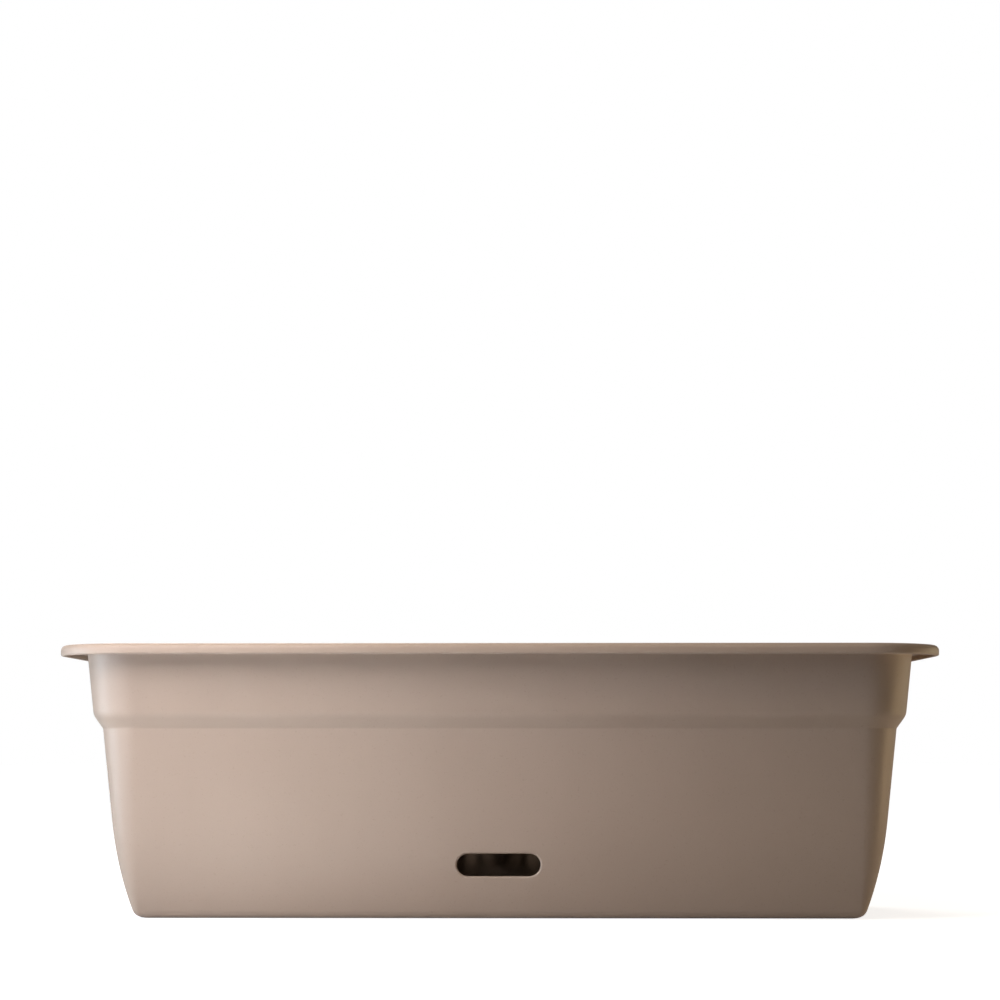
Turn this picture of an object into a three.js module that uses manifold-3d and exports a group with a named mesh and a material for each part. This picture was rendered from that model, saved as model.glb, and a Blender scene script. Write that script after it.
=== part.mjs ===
// A rectangular trough planter in moulded plastic, about half a metre long.
// It waters from below: soil stands on two lift-out false floors, and four wick cups reach
// down from them into the water that the trough keeps under its front overflow slot.
// Millimetres, +Z up, the origin in the middle of the base, the overflow slot facing -Y.
import * as THREE from "three";
import { mergeVertices } from "three/addons/utils/BufferGeometryUtils.js";
import Module from "manifold-3d";

const wasm = await Module();
wasm.setup();
const radians = THREE.MathUtils.degToRad;

// Overall sizes, over the lip of the rim.
const rimLength = 500;
const rimWidth = 200;
const planterHeight = 155.5;

// The moulded walls. Draft angles are from the vertical.
const wall = 2.6;
const floorThickness = 2.8;
const rimCornerRadius = 45;
const tightestCorner = 3;

// The rim turns out from the wall and ends in a lip that turns down.
const rimOverhang = 14.8;
const rimRoot = 2.5;
const lipHeight = 6;
const lipThickness = 2.3;
const lipRound = 3;

// The upper band, and the sloped step under it.
const bandHeight = 39.5;
const bandDraft = 5.5;
const bandRound = 8;
const stepDrop = 7.5;
const stepInset = 5.3;
const creaseRound = 1.5;

// The lower wall, which tucks in towards a ring-shaped foot.
const wallDraft = 5.5;
const tuckHeight = 55;
const tuckRadius = 205;
const baseRound = 7.5;
const footHeight = 2;
const footWidth = 10;
const floorRound = 6;

// The overflow slot, low in the middle of the front wall.
const slotLength = 47.5;
const slotHeight = 13;
const slotLevel = 31.2;

// The drain in the right-hand end: a sunk seat, a push-in plug with a finger bar, and its seal.
const drainBore = 12;
const drainWall = 2.8;
const seatSink = 0.6;
const seatAboveGround = 0.4;
const sealWidth = 2.2;
const sealThickness = 1.4;
const plugHeadLap = 0.5;
const plugHeadThickness = 2;
const plugNose = 1.5;
const fingerRoom = 2;
const barHeight = 5;
const barWidth = 3.6;
const barMargin = 2;

// Loose pieces rest this far from each other and from the trough.
const seatGap = 0.3;

// The false floors: perforated plates with a skirt, hollow legs and collars for the cups.
const plateThickness = 2.2;
const sideGap = 1;
const middleGap = 0.8;
const skirtDepth = 4;
const skirtThickness = 1.6;
const skirtAboveSlot = 1.3;
const legDiameter = 16;
const legDraft = 2;
const legWall = 1.7;
const legInsetX = 36;
const legInsetY = 21;
const collarThickness = 1.8;
const collarDepth = 6;

// The drainage slots in the false floors.
const drainSlotWidth = 3.2;
const drainSlotLength = 13;
const slotPitchX = 10.5;
const slotPitchY = 18;
const slotMargin = 2;
const plateMargin = 4;

// The wick cups, which hang in the false floors by their flanges.
const cupDiameter = 45;
const cupDraft = 9;
const cupWall = 1.6;
const cupFlangeWidth = 4.5;
const cupFlangeThickness = 1.8;
const cupClearance = 0.5;
const cupAboveFloor = 1.6;
const cupSlots = 6;
const cupSlotWidth = 4.5;
const cupSlotRise = 22;
const cupHubDiameter = 19;

// How finely the round shapes are stepped.
const cornerSteps = 8;
const tuckSteps = 5;
const roundSteps = 3;
const circleSteps = 24;
const legSteps = 14;
const slotEndSteps = 10;
const drainSlotEndSteps = 2;
const barEndSteps = 6;

// The corners of every level share their centres, so a level's size is one offset from them.
const cornerX = rimLength / 2 - rimCornerRadius;
const cornerY = rimWidth / 2 - rimCornerRadius;

// Levels and offsets of the outside, worked out from the rim downwards.
const rimUnderside = planterHeight - wall;
const lipBottom = planterHeight - lipHeight;
const wallTopOffset = rimCornerRadius - rimOverhang;
const bandFoot = planterHeight - bandHeight;
const bandFootOffset = wallTopOffset - (rimUnderside - bandFoot) * Math.tan(radians(bandDraft));
const stepFoot = bandFoot - stepDrop;
const stepFootOffset = bandFootOffset - stepInset;
const tuckOffset = stepFootOffset - (stepFoot - tuckHeight) * Math.tan(radians(wallDraft));

// The arc that tucks the wall in, and the base round that touches it and the ground.
const tuckCentre = new THREE.Vector2(
  tuckOffset - tuckRadius * Math.cos(radians(wallDraft)),
  tuckHeight + tuckRadius * Math.sin(radians(wallDraft)),
);
const baseAngle = Math.asin((tuckCentre.y - baseRound) / (tuckRadius - baseRound));
const baseOffset = tuckCentre.x + (tuckRadius - baseRound) * Math.cos(baseAngle);
const floorTop = footHeight + floorThickness;
const floorAngle = Math.asin(
  (tuckCentre.y - floorTop - floorRound) / (tuckRadius - wall - floorRound),
);
const floorOffset = tuckCentre.x + (tuckRadius - wall - floorRound) * Math.cos(floorAngle);

// How far the outer wall stands out from the corner centres at a level under the step.
function outerOffsetAt(level) {
  if (level >= tuckHeight) {
    return stepFootOffset - (stepFoot - level) * Math.tan(radians(wallDraft));
  }
  return tuckCentre.x + Math.sqrt(tuckRadius ** 2 - (tuckCentre.y - level) ** 2);
}

// A closed geometry as a solid that can be joined and cut.
function solidOf(geometry) {
  const bare = geometry.index ? geometry.toNonIndexed() : geometry;
  const points = new THREE.BufferGeometry();
  points.setAttribute("position", bare.getAttribute("position"));
  const merged = mergeVertices(points, 1e-4);
  const corners = merged.index.array;
  const kept = [];
  for (let i = 0; i < corners.length; i += 3) {
    const [a, b, c] = [corners[i], corners[i + 1], corners[i + 2]];
    if (a !== b && b !== c && c !== a) kept.push(a, b, c);
  }
  return new wasm.Manifold(
    new wasm.Mesh({
      numProp: 3,
      vertProperties: merged.attributes.position.array,
      triVerts: new Uint32Array(kept),
    }),
  );
}

// A solid as a geometry that a mesh can show.
function geometryOf(solid) {
  const { vertProperties, triVerts } = solid.getMesh();
  const geometry = new THREE.BufferGeometry();
  geometry.setAttribute("position", new THREE.BufferAttribute(vertProperties, 3));
  geometry.setIndex(new THREE.BufferAttribute(triVerts, 1));
  geometry.computeVertexNormals();
  return geometry;
}

// Points on an arc in a profile, between two angles in radians.
function arc(x, y, radius, from, to, steps) {
  return Array.from({ length: steps + 1 }, (_, i) => {
    const angle = from + ((to - from) * i) / steps;
    return [x + radius * Math.cos(angle), y + radius * Math.sin(angle)];
  });
}

// A profile given by its corners [offset, level, radius], with each corner rounded to its radius.
function rounded(corners) {
  return corners.flatMap(([x, y, radius], i) => {
    if (!radius) return [[x, y]];
    const corner = new THREE.Vector2(x, y);
    const before = new THREE.Vector2().fromArray(corners[i - 1]).sub(corner);
    const after = new THREE.Vector2().fromArray(corners[i + 1]).sub(corner);
    const half = Math.abs(before.angleTo(after)) / 2;
    const room = Math.min(before.length(), after.length()) / 2;
    const reach = Math.min(radius / Math.tan(half), room);
    const round = reach * Math.tan(half);
    const towards = before.clone().normalize().add(after.clone().normalize()).normalize();
    const centre = towards.multiplyScalar(round / Math.sin(half)).add(corner);
    const first = before.setLength(reach).add(corner).sub(centre).angle();
    const last = after.setLength(reach).add(corner).sub(centre).angle();
    const turn = THREE.MathUtils.euclideanModulo(last - first + Math.PI, 2 * Math.PI) - Math.PI;
    return arc(centre.x, centre.y, round, first, first + turn, roundSteps);
  });
}

// One level of the trough: a rectangle with rounded corners, seen from above, as 3-D points.
function levelRing([offset, z]) {
  const radius = Math.max(offset, tightestCorner);
  const x = cornerX + offset - radius;
  const y = cornerY + offset - radius;
  const quarter = Math.PI / 2;
  return [[x, -y], [x, y], [-x, y], [-x, -y]].flatMap(([cx, cy], i) =>
    arc(cx, cy, radius, (i - 1) * quarter, i * quarter, cornerSteps).map(([px, py]) => [px, py, z]),
  );
}

// A closed skin over a stack of levels, with a flat end below the first and above the last.
function skin(profile) {
  const rings = profile.map(levelRing);
  const count = rings[0].length;
  const faces = [];
  for (let j = 0; j < count; j++) {
    const next = (j + 1) % count;
    faces.push(rings[0][0], rings[0][next], rings[0][j]);
    faces.push(rings.at(-1)[0], rings.at(-1)[j], rings.at(-1)[next]);
    for (let i = 1; i < rings.length; i++) {
      const [low, high] = [rings[i - 1], rings[i]];
      faces.push(low[j], low[next], high[next], low[j], high[next], high[j]);
    }
  }
  const geometry = new THREE.BufferGeometry();
  geometry.setAttribute("position", new THREE.Float32BufferAttribute(faces.flat(), 3));
  return geometry;
}

// A solid turned about the Z axis from a profile of [radius, level] points.
function turned(profile, steps = circleSteps) {
  const points = profile.map(([x, y]) => new THREE.Vector2(x, y));
  return solidOf(new THREE.LatheGeometry(points, steps).rotateX(Math.PI / 2));
}

// A ring with a square section, about the Z axis.
function washer(inner, outer, low, high) {
  return turned([[inner, low], [outer, low], [outer, high], [inner, high], [inner, low]]);
}

// A plate with an outline in X and Y, and holes in it, between two levels.
function plate(outline, holes, bottom, top) {
  const [shape, ...openings] = [outline, ...holes].map(
    (points) => new THREE.Shape(points.map(([x, y]) => new THREE.Vector2(x, y))),
  );
  shape.holes = openings;
  const geometry = new THREE.ExtrudeGeometry(shape, { depth: top - bottom, bevelEnabled: false });
  return solidOf(geometry.translate(0, 0, bottom));
}

// The outline of a slot or bar with round ends, which lies along X.
function stadium(length, width, endSteps) {
  const [run, quarter] = [(length - width) / 2, Math.PI / 2];
  return arc(run, 0, width / 2, -quarter, quarter, endSteps).concat(
    arc(-run, 0, width / 2, quarter, 3 * quarter, endSteps),
  );
}

// The tucked-in part of the wall, going up its outside.
function tuckProfile() {
  const draft = radians(wallDraft);
  const round = arc(baseOffset, baseRound, baseRound, -Math.PI / 2, -baseAngle, roundSteps);
  const tuck = arc(tuckCentre.x, tuckCentre.y, tuckRadius, -baseAngle, -draft, tuckSteps);
  return [...round, ...tuck.slice(1)];
}

// The trough's whole section: up the outside, round the rim and its lip, and down the inside.
function troughProfile() {
  const draft = radians(wallDraft);
  const innerRadius = tuckRadius - wall;
  const tuck = arc(tuckCentre.x, tuckCentre.y, innerRadius, -draft, -floorAngle, tuckSteps);
  const roundTop = floorTop + floorRound;
  const round = arc(floorOffset, roundTop, floorRound, -floorAngle, -Math.PI / 2, roundSteps);
  return rounded([
    [baseOffset - footWidth, footHeight],
    [baseOffset - footWidth, 0],
    ...tuckProfile(),
    [stepFootOffset, stepFoot, creaseRound],
    [bandFootOffset, bandFoot, bandRound],
    [wallTopOffset, rimUnderside, rimRoot],
    [rimCornerRadius - lipThickness, rimUnderside],
    [rimCornerRadius - lipThickness, lipBottom],
    [rimCornerRadius, lipBottom],
    [rimCornerRadius, planterHeight, lipRound],
    [wallTopOffset - wall, planterHeight, rimRoot + wall],
    [bandFootOffset - wall, bandFoot, bandRound - wall],
    [stepFootOffset - wall, stepFoot, creaseRound + wall],
    ...tuck,
    ...round.slice(1),
  ]);
}

// The drain's sizes follow from its bore, and it lies as low as its seat lets it.
const shankRadius = drainBore / 2 - seatGap;
const sealRadius = drainBore / 2 + sealWidth;
const headRadius = sealRadius + plugHeadLap;
const seatRadius = headRadius + fingerRoom;
const drainLevel = seatRadius + wall + seatAboveGround;
const seatFace = cornerX + outerOffsetAt(drainLevel - seatRadius) - seatSink;
const seatBack = seatFace - drainWall;

function acrossX(from, to, radius) {
  const cylinder = new THREE.CylinderGeometry(radius, radius, to - from, circleSteps);
  return solidOf(cylinder.rotateZ(-Math.PI / 2).translate((from + to) / 2, 0, drainLevel));
}

// The trough, with a boss behind the drain's seat, and the slot, the seat and the drain cut out.
function troughBody() {
  const slotReach = outerOffsetAt(tuckHeight) + wall;
  const slotCut = plate(stadium(slotLength, slotHeight, slotEndSteps), [], 0, slotReach)
    .rotate([90, 0, 0])
    .translate([0, -cornerY, slotLevel]);
  const insideWall = skin(tuckProfile().map(([offset, z]) => [offset - wall / 2, z]));
  const outEnd = cornerX + tuckOffset + wall;
  const boss = acrossX(seatBack, outEnd, seatRadius + wall).intersect(solidOf(insideWall));
  return solidOf(skin(troughProfile()))
    .add(boss)
    .subtract(acrossX(seatFace, outEnd, seatRadius))
    .subtract(acrossX(seatBack - wall, outEnd, drainBore / 2))
    .subtract(slotCut);
}

// One false floor, drawn for the right-hand half; the left-hand one is the same piece turned round.
const skirtBottom = slotLevel + slotHeight / 2 + skirtAboveSlot;
const plateBottom = skirtBottom + skirtDepth;
const plateTop = plateBottom + plateThickness;
const plateOffset = outerOffsetAt(skirtBottom) - wall - sideGap;
const plateEndX = cornerX + plateOffset;
const plateEndY = cornerY + plateOffset;
const plateStartX = middleGap / 2;
const plateMiddleX = (plateStartX + plateEndX) / 2;
const cupHoleRadius = cupDiameter / 2 + cupClearance;
const flangeRadius = cupDiameter / 2 + cupFlangeWidth;

// Three pairs of legs, with a cup between each pair and the next.
const legXs = [plateStartX + legInsetX, plateMiddleX, plateEndX - legInsetX];
const legY = plateEndY - legInsetY;
const legSpots = legXs.flatMap((x) => [[x, legY], [x, -legY]]);
const cupXs = [(legXs[0] + legXs[1]) / 2, (legXs[1] + legXs[2]) / 2];

function plateOutline(inset) {
  const radius = plateOffset - inset;
  const quarter = Math.PI / 2;
  return [
    [plateStartX + inset, inset - plateEndY],
    ...arc(cornerX, -cornerY, radius, -quarter, 0, cornerSteps),
    ...arc(cornerX, cornerY, radius, 0, quarter, cornerSteps),
    [plateStartX + inset, plateEndY - inset],
  ];
}

// The middles of the drainage slots: a grid that keeps clear of the edges, cups and legs.
function drainSlotSpots() {
  const reachX = plateEndX - plateMiddleX - plateMargin - drainSlotWidth / 2;
  const reachY = plateEndY - plateMargin - drainSlotLength / 2;
  const columns = Math.floor(reachX / slotPitchX);
  const rows = Math.floor(reachY / slotPitchY);
  const taken = [
    ...cupXs.map((x) => [x, 0, flangeRadius]),
    ...legSpots.map(([x, y]) => [x, y, legDiameter / 2]),
  ];
  const spots = [];
  for (let i = -columns; i <= columns; i++) {
    for (let j = -rows; j <= rows; j++) {
      const [x, y] = [plateMiddleX + i * slotPitchX, j * slotPitchY];
      const clear = taken.every(([tx, ty, radius]) => {
        const gapY = Math.max(Math.abs(y - ty) - drainSlotLength / 2, 0);
        return Math.hypot(x - tx, gapY) > radius + drainSlotWidth / 2 + slotMargin;
      });
      if (clear) spots.push([x, y]);
    }
  }
  return spots;
}

function falseFloor() {
  const cupHole = arc(0, 0, cupHoleRadius, 0, 2 * Math.PI, circleSteps).slice(1);
  const drainSlot = stadium(drainSlotLength, drainSlotWidth, drainSlotEndSteps);
  const holes = [
    ...cupXs.map((x) => cupHole.map(([px, py]) => [x + px, py])),
    ...drainSlotSpots().map(([x, y]) => drainSlot.map(([along, across]) => [x - across, y + along])),
  ];
  const insideSkirt = plateOutline(skirtThickness);
  const sunk = plateBottom + plateThickness / 2;
  let floor = plate(plateOutline(0), holes, plateBottom, plateTop).add(
    plate(plateOutline(0), [insideSkirt], skirtBottom, sunk),
  );

  const collarRadius = cupHoleRadius + collarThickness;
  const collar = washer(cupHoleRadius, collarRadius, plateBottom - collarDepth, sunk);
  for (const x of cupXs) floor = floor.add(collar.translate([x, 0, 0]));

  const foot = floorTop + seatGap;
  const top = legDiameter / 2;
  const bottom = top - (sunk - foot) * Math.tan(radians(legDraft));
  const leg = turned([[0, foot], [bottom, foot], [top, sunk], [0, sunk]], legSteps);
  const bore = turned(
    [[0, floorTop], [bottom - legWall, floorTop], [top - legWall, plateBottom], [0, plateBottom]],
    legSteps,
  );
  for (const [x, y] of legSpots) {
    floor = floor.add(leg.translate([x, y, 0])).subtract(bore.translate([x, y, 0]));
  }
  return floor;
}

// One wick cup, with its axis on Z and at its own height in the trough.
function wickCup() {
  const under = plateTop + seatGap;
  const top = under + cupFlangeThickness;
  const foot = floorTop + cupAboveFloor;
  const wallRadius = cupDiameter / 2;
  const footRadius = wallRadius - (under - foot) * Math.tan(radians(cupDraft));
  let cup = turned([
    [0, foot],
    [footRadius, foot],
    [wallRadius, under],
    [flangeRadius, under],
    [flangeRadius, top],
    [wallRadius - cupWall, top],
    [footRadius - cupWall, foot + cupWall],
    [0, foot + cupWall],
  ]);
  const hub = cupHubDiameter / 2;
  const slot = new THREE.BoxGeometry(flangeRadius - hub, cupSlotWidth, cupSlotRise + cupWall);
  slot.translate((flangeRadius + hub) / 2, 0, foot + (cupSlotRise - cupWall) / 2);
  for (let i = 0; i < cupSlots; i++) {
    cup = cup.subtract(solidOf(slot.clone().rotateZ((2 * Math.PI * (i + 0.5)) / cupSlots)));
  }
  return cup;
}

// The plug and the seal stand on the drain's axis, with the head's underside at zero.
const sealFace = seatFace + seatGap;
const headFace = sealFace + sealThickness + seatGap;

function drainPlug() {
  const nose = seatBack - plugNose - headFace;
  const body = turned([
    [0, nose],
    [shankRadius - plugNose / 2, nose],
    [shankRadius, nose + plugNose],
    [shankRadius, 0],
    [headRadius, 0],
    [headRadius, plugHeadThickness],
    [0, plugHeadThickness],
  ]);
  const bar = stadium(2 * (headRadius - barMargin), barWidth, barEndSteps);
  return body.add(plate(bar, [], plugHeadThickness / 2, plugHeadThickness + barHeight));
}

const taupePlastic = new THREE.MeshStandardMaterial({ color: 0xb09d8d, roughness: 0.55, metalness: 0 });
const darkPlastic = new THREE.MeshStandardMaterial({ color: 0x2b2a29, roughness: 0.6, metalness: 0 });
const blackRubber = new THREE.MeshStandardMaterial({ color: 0x1b1b1c, roughness: 0.85, metalness: 0 });

function piece(name, solid, material) {
  const mesh = new THREE.Mesh(geometryOf(solid), material);
  mesh.name = name;
  return mesh;
}

const planter = new THREE.Group();
planter.add(piece("trough_body", troughBody(), taupePlastic));

// Each false floor carries its two cups, so that floor and cups lift out together.
const floorSolid = falseFloor();
const cupSolid = wickCup();
for (const [side, turn] of [["right", 0], ["left", Math.PI]]) {
  const unit = new THREE.Group();
  unit.rotation.z = turn;
  unit.add(piece(`false_floor_${side}`, floorSolid, darkPlastic));
  for (const [place, x] of [["inner", cupXs[0]], ["outer", cupXs[1]]]) {
    const cup = piece(`wick_cup_${side}_${place}`, cupSolid, darkPlastic);
    cup.position.x = x;
    unit.add(cup);
  }
  planter.add(unit);
}

// The plug and its seal share the drain's axis, which points out of the right-hand end.
const drain = new THREE.Group();
drain.position.z = drainLevel;
drain.rotation.y = Math.PI / 2;
const plug = piece("drain_plug", drainPlug(), taupePlastic);
plug.position.z = headFace;
const washerSolid = washer(drainBore / 2, sealRadius, 0, sealThickness);
const seal = piece("drain_seal", washerSolid, blackRubber);
seal.position.z = sealFace;
drain.add(plug, seal);
planter.add(drain);

export default planter;
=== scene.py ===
# %% [markdown]
# # A rectangular trough planter in moulded plastic
# The planter is one moulded trough, about half a metre long, that waters from below. Two
# perforated false floors stand in it, four wick cups hang in them, and a push-in plug empties it.
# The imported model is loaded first, as a fixed frame that says where each piece is and how it moves.
# Each piece is then made again in finer form, in the same place, and stands for its plain copy.

import math

import bmesh
import bpy
from mathutils import Matrix, Vector


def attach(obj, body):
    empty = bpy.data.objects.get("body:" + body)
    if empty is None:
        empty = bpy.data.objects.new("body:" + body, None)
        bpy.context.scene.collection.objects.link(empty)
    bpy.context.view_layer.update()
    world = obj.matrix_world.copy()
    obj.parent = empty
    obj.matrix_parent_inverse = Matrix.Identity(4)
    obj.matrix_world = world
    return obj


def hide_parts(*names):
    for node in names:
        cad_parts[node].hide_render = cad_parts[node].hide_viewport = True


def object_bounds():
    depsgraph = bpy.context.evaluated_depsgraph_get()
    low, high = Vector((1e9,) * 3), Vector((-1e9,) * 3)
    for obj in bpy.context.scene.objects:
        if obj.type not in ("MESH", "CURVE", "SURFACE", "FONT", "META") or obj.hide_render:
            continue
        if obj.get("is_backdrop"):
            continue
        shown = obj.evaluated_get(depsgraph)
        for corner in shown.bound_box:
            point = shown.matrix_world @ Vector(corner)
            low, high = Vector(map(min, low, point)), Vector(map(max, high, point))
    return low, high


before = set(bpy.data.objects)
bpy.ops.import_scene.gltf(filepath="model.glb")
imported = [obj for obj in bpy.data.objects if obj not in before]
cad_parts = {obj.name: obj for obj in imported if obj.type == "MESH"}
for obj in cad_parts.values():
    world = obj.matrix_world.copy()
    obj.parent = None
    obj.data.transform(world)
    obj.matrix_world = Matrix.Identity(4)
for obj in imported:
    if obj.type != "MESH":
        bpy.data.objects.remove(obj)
cad_low, cad_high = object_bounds()
print("size of the packed model in mm:", [round(1000 * v, 1) for v in cad_high - cad_low])

# %% [markdown]
# ## The camera
# The planter is seen almost square from the front, from less than a degree to the right, by a
# camera that looks level, a little above the middle of its height. A level camera keeps the upright
# edges upright. The planter sits low in the picture, and a lens shift brings it there without
# tilting the camera.

# %% Place the camera
CAMERA_DISTANCE = 1.3
CAMERA_HEIGHT = 0.1008
CAMERA_TURN = math.radians(0.8)

camera_data = bpy.data.cameras.new("camera")
camera_data.sensor_width = 36
camera_data.lens = 78.45
camera_data.shift_x = -0.0003
camera_data.shift_y = 0.242
camera = bpy.data.objects.new("camera", camera_data)
camera.location = (
    CAMERA_DISTANCE * math.sin(CAMERA_TURN),
    -CAMERA_DISTANCE * math.cos(CAMERA_TURN),
    CAMERA_HEIGHT,
)
camera.rotation_euler = (math.radians(90), 0, CAMERA_TURN)
scene = bpy.context.scene
scene.collection.objects.link(camera)
scene.camera = camera
scene.view_settings.view_transform = "Standard"
print("camera", CAMERA_DISTANCE, "m in front and", CAMERA_HEIGHT, "m up")

# %% [markdown]
# ## Sizes
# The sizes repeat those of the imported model, in millimetres turned into metres. Every level of the
# trough is a rectangle with rounded corners, and all these corners turn about the same four
# upright lines. One number, the offset from those lines, therefore sizes a whole level.

# %% Sizes of the trough
MM = 0.001
TO_CM3 = 1e6
RIM_LENGTH = 500 * MM
RIM_WIDTH = 200 * MM
HEIGHT = 155.5 * MM
WALL = 2.6 * MM
CORNER_RADIUS = 45 * MM
TIGHTEST_CORNER = 3 * MM
CORNER_X = RIM_LENGTH / 2 - CORNER_RADIUS
CORNER_Y = RIM_WIDTH / 2 - CORNER_RADIUS

LIP_BOTTOM = HEIGHT - 6 * MM
LIP_THICKNESS = 2.3 * MM
RIM_UNDERSIDE = HEIGHT - WALL
WALL_DRAFT = math.radians(5.5)
WALL_TOP = CORNER_RADIUS - 14.8 * MM
BAND_FOOT_LEVEL = 116 * MM
BAND_FOOT = WALL_TOP - (RIM_UNDERSIDE - BAND_FOOT_LEVEL) * math.tan(WALL_DRAFT)
STEP_FOOT_LEVEL = 108.5 * MM
STEP_FOOT = BAND_FOOT - 5.3 * MM
print("offset at the foot of the band in mm:", round(BAND_FOOT / MM, 2))

# %% [markdown]
# The lower wall leans out, and under 55 mm it tucks in on a large arc that meets a small round at
# the ground. These rules give the offset of the outer and the inner face at any level, so that
# the overflow slot and the drain can later lie exactly on them.

# %% Rules for the lower wall
TUCK_LEVEL = 55 * MM
TUCK_RADIUS = 205 * MM
BASE_ROUND = 7.5 * MM
FOOT_HEIGHT = 2 * MM
FOOT_WIDTH = 10 * MM
FLOOR_TOP = 4.8 * MM
FLOOR_ROUND = 6 * MM
TUCK_TOP = STEP_FOOT - (STEP_FOOT_LEVEL - TUCK_LEVEL) * math.tan(WALL_DRAFT)
TUCK_CENTRE_OFFSET = TUCK_TOP - TUCK_RADIUS * math.cos(WALL_DRAFT)
TUCK_CENTRE_LEVEL = TUCK_LEVEL + TUCK_RADIUS * math.sin(WALL_DRAFT)
BASE_ANGLE = math.asin((TUCK_CENTRE_LEVEL - BASE_ROUND) / (TUCK_RADIUS - BASE_ROUND))
BASE_OFFSET = TUCK_CENTRE_OFFSET + (TUCK_RADIUS - BASE_ROUND) * math.cos(BASE_ANGLE)
INNER_RADIUS = TUCK_RADIUS - WALL
FLOOR_ANGLE = math.asin(
    (TUCK_CENTRE_LEVEL - FLOOR_TOP - FLOOR_ROUND) / (INNER_RADIUS - FLOOR_ROUND)
)
FLOOR_OFFSET = TUCK_CENTRE_OFFSET + (INNER_RADIUS - FLOOR_ROUND) * math.cos(FLOOR_ANGLE)


def tuck_offset(level, radius=TUCK_RADIUS):
    """Offset of the tucked-in wall at a level; its inner face has the smaller radius."""
    return TUCK_CENTRE_OFFSET + math.sqrt(radius**2 - (TUCK_CENTRE_LEVEL - level) ** 2)


def outer_offset(level):
    """Offset of the outer face at a level below the step."""
    if level >= TUCK_LEVEL:
        return STEP_FOOT - (STEP_FOOT_LEVEL - level) * math.tan(WALL_DRAFT)
    if level < BASE_ROUND * (1 - math.sin(BASE_ANGLE)):
        return BASE_OFFSET + math.sqrt(BASE_ROUND**2 - (BASE_ROUND - level) ** 2)
    return tuck_offset(level)


print("offset at the ground in mm:", round(BASE_OFFSET / MM, 2))

# %% [markdown]
# ## The section of the wall
# A moulded wall has no sharp corner: plastic flows round a small radius, and each edge shows as a
# thin line of light. The section is therefore drawn by its corners, each with its own radius, and
# a helper turns them into arcs. Long flat stretches get an extra point close to each end, which
# keeps the shading of the rounds from spreading over the flat.

# %% Helpers that draw a section
HOLD = 0.4 * MM


def arc(across, up, radius, start, end, steps):
    """Points on an arc, between two angles in radians."""
    angles = [start + (end - start) * i / steps for i in range(steps + 1)]
    return [(across + radius * math.cos(a), up + radius * math.sin(a)) for a in angles]


def rounded(corners, finest=math.radians(11)):
    """A section given by corners (across, up, radius), with each corner rounded."""
    points = []
    for i, (across, up, radius) in enumerate(corners):
        if not radius:
            points.append((across, up))
            continue
        corner = Vector((across, up))
        before = Vector(corners[i - 1][:2]) - corner
        after = Vector(corners[(i + 1) % len(corners)][:2]) - corner
        half = before.angle(after) / 2
        reach = min(radius / math.tan(half), min(before.length, after.length) / 2)
        towards = (before.normalized() + after.normalized()).normalized()
        centre = corner + towards * reach / math.cos(half)
        first = corner + before.normalized() * reach - centre
        last = corner + after.normalized() * reach - centre
        start = math.atan2(first.y, first.x)
        turn = (math.atan2(last.y, last.x) - start + math.pi) % (2 * math.pi) - math.pi
        steps = max(3, math.ceil(abs(turn) / finest))
        points += arc(*centre, first.length, start, start + turn, steps)
    return points


def spread(points, longest):
    """Adds points to long stretches of a section: one near each end, and others between."""
    filled = [points[0]]
    for start, end in zip(points, points[1:]):
        a, b = Vector(start), Vector(end)
        length = (b - a).length
        if length > 4 * HOLD:
            count = max(1, math.ceil((length - 2 * HOLD) / longest))
            shares = [(HOLD + (length - 2 * HOLD) * i / count) / length for i in range(count + 1)]
            filled += [tuple(a.lerp(b, share)) for share in shares]
        filled.append(end)
    return filled


# %% The trough's section
SLOT_LEVEL = 31.2 * MM
SLOT_ROWS = [SLOT_LEVEL + 2 * MM * step for step in range(-6, 7)]
BELOW_SLOT = [level * MM for level in (7, 11, 15, 17.2)]
ABOVE_SLOT = [level * MM for level in (45.2, 48, 51.5)]
TUCK_ROWS = BELOW_SLOT + SLOT_ROWS + ABOVE_SLOT
MIDDLE = -CORNER_Y
FIRST_ROW = MIDDLE + 3 * MM
FLOOR_STRETCH = 9 * MM
WALL_STRETCH = 7 * MM
ROUND_STEPS = 8


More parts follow.
